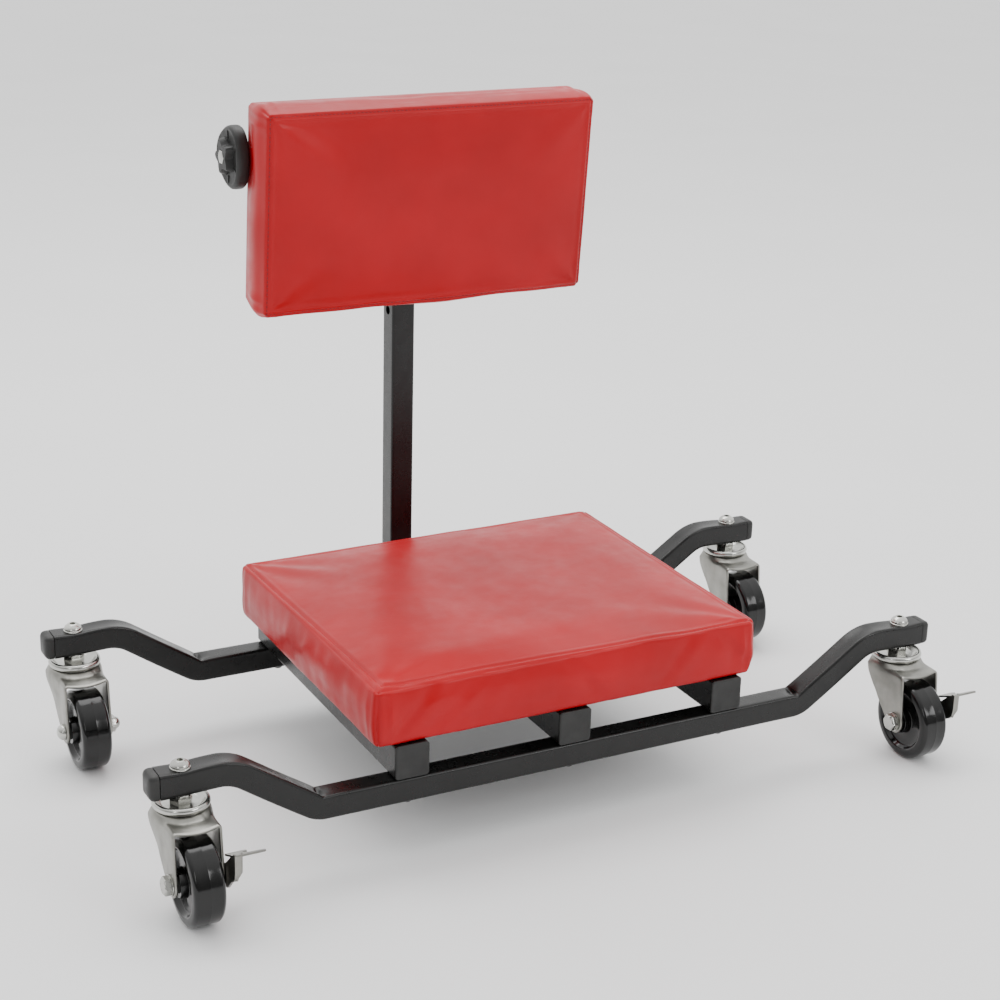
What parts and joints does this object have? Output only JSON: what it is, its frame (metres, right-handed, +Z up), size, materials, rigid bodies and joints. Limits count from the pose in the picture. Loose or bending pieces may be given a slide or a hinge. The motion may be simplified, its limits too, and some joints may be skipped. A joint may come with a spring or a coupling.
{
  "type": "creeper seat",
  "caption": "Low rolling garage seat: padded square seat on two bent rails with swivel castors, and a padded backrest on a post that slides and tilts.",
  "frame": {"origin": "on the floor, at the centre of the object's bounding box seen from above", "axes": "+Z up, +X along the rails to the sitter's left, -Y towards the side where the sitter's legs are, backrest at +Y"},
  "size_m": [0.8072, 0.4624, 0.6006],
  "materials": {
    "black_paint": "gloss black powder coat on welded steel tube",
    "black_plastic": "moulded black polypropylene, lightly grained",
    "red_vinyl": "red coated vinyl over foam, satin sheen, sewn seams",
    "plywood": "black stained plywood board",
    "zinc": "bright zinc plated pressed steel",
    "black_wheel": "glossy black moulded wheel with a parting line",
    "bush_nylon": "dark nylon bearing bush"
  },
  "bodies": {
    "frame": {"back_post": "black_paint", "bearing_cup_far_left": "zinc", "bearing_cup_far_right": "zinc", "bearing_cup_near_left": "zinc", "bearing_cup_near_right": "zinc", "castor_bolt_far_left": "zinc", "castor_bolt_far_right": "zinc", "castor_bolt_near_left": "zinc", "castor_bolt_near_right": "zinc", "cross_cap_far_left": "black_plastic", "cross_cap_far_right": "black_plastic", "cross_cap_near_left": "black_plastic", "cross_cap_near_middle": "black_plastic", "cross_cap_near_right": "black_plastic", "cross_tube_left": "black_paint", "cross_tube_middle": "black_paint", "cross_tube_right": "black_paint", "far_rail": "black_paint", "near_rail": "black_paint", "post_collar": "black_plastic", "rail_bolt_far_left": "black_paint", "rail_bolt_far_middle": "black_paint", "rail_bolt_far_right": "black_paint", "rail_bolt_near_left": "black_paint", "rail_bolt_near_middle": "black_paint", "rail_bolt_near_right": "black_paint", "rail_cap_far_left": "black_plastic", "rail_cap_far_right": "black_plastic", "rail_cap_near_left": "black_plastic", "rail_cap_near_right": "black_plastic", "seat_board": "plywood", "seat_cushion": "red_vinyl"},
    "castor_near_left": {"fork_near_left": "zinc", "axle_near_left": "zinc", "axle_nut_near_left": "zinc"},
    "wheel_near_left": {"wheel_near_left": "black_wheel", "bush_near_left": "bush_nylon"},
    "brake_near_left": {"brake_lever_near_left": "zinc"},
    "castor_near_right": {"fork_near_right": "zinc", "axle_near_right": "zinc", "axle_nut_near_right": "zinc"},
    "wheel_near_right": {"wheel_near_right": "black_wheel", "bush_near_right": "bush_nylon"},
    "brake_near_right": {"brake_lever_near_right": "zinc"},
    "castor_far_left": {"fork_far_left": "zinc", "axle_far_left": "zinc", "axle_nut_far_left": "zinc"},
    "wheel_far_left": {"wheel_far_left": "black_wheel", "bush_far_left": "bush_nylon"},
    "castor_far_right": {"fork_far_right": "zinc", "axle_far_right": "zinc", "axle_nut_far_right": "zinc"},
    "wheel_far_right": {"wheel_far_right": "black_wheel", "bush_far_right": "bush_nylon"},
    "head": {"back_head": "black_paint", "tilt_washer": "zinc"},
    "backrest": {"back_board": "plywood", "back_cushion": "red_vinyl"},
    "knob": {"tilt_knob": "black_plastic"},
    "pin": {"height_pin": "black_plastic"}
  },
  "joints": [
    {"name": "swivel_near_left", "type": "hinge", "parent": "frame", "child": "castor_near_left", "pos_m": [-0.3735, -0.16057, 0.088], "axis": [0, 0, 1], "continuous": true},
    {"name": "spin_near_left", "type": "hinge", "parent": "castor_near_left", "child": "wheel_near_left", "pos_m": [-0.3735, -0.19298, 0.03792], "axis": [1, 0, 0], "continuous": true},
    {"name": "brake_near_left", "type": "hinge", "parent": "castor_near_left", "child": "brake_near_left", "pos_m": [-0.3735, -0.19298, 0.03792], "axis": [1, 0, 0], "range_deg": [0, 35]},
    {"name": "swivel_near_right", "type": "hinge", "parent": "frame", "child": "castor_near_right", "pos_m": [0.3545, -0.16057, 0.088], "axis": [0, 0, 1], "continuous": true},
    {"name": "spin_near_right", "type": "hinge", "parent": "castor_near_right", "child": "wheel_near_right", "pos_m": [0.3545, -0.19298, 0.03792], "axis": [1, 0, 0], "continuous": true},
    {"name": "brake_near_right", "type": "hinge", "parent": "castor_near_right", "child": "brake_near_right", "pos_m": [0.3545, -0.19298, 0.03792], "axis": [1, 0, 0], "range_deg": [0, 35]},
    {"name": "swivel_far_left", "type": "hinge", "parent": "frame", "child": "castor_far_left", "pos_m": [-0.3735, 0.14342, 0.088], "axis": [0, 0, 1], "continuous": true},
    {"name": "spin_far_left", "type": "hinge", "parent": "castor_far_left", "child": "wheel_far_left", "pos_m": [-0.3735, 0.11102, 0.03792], "axis": [1, 0, 0], "continuous": true},
    {"name": "swivel_far_right", "type": "hinge", "parent": "frame", "child": "castor_far_right", "pos_m": [0.3545, 0.14342, 0.088], "axis": [0, 0, 1], "continuous": true},
    {"name": "spin_far_right", "type": "hinge", "parent": "castor_far_right", "child": "wheel_far_right", "pos_m": [0.3545, 0.11102, 0.03792], "axis": [1, 0, 0], "continuous": true},
    {"name": "back_height", "type": "slide", "parent": "frame", "child": "head", "axis": [0, 0, 1], "range_m": [-0.048, 0.048]},
    {"name": "back_tilt", "type": "hinge", "parent": "head", "child": "backrest", "pos_m": [-0.0095, 0.19093, 0.54972], "axis": [1, 0, 0], "range_deg": [-20, 4]},
    {"name": "tilt_knob_turn", "type": "hinge", "parent": "head", "child": "knob", "pos_m": [-0.182, 0.19093, 0.54972], "axis": [1, 0, 0], "range_deg": [0, 270]},
    {"name": "height_pin_push", "type": "slide", "parent": "head", "child": "pin", "axis": [1, 0, 0], "range_m": [0, 0.0045]}
  ]
}
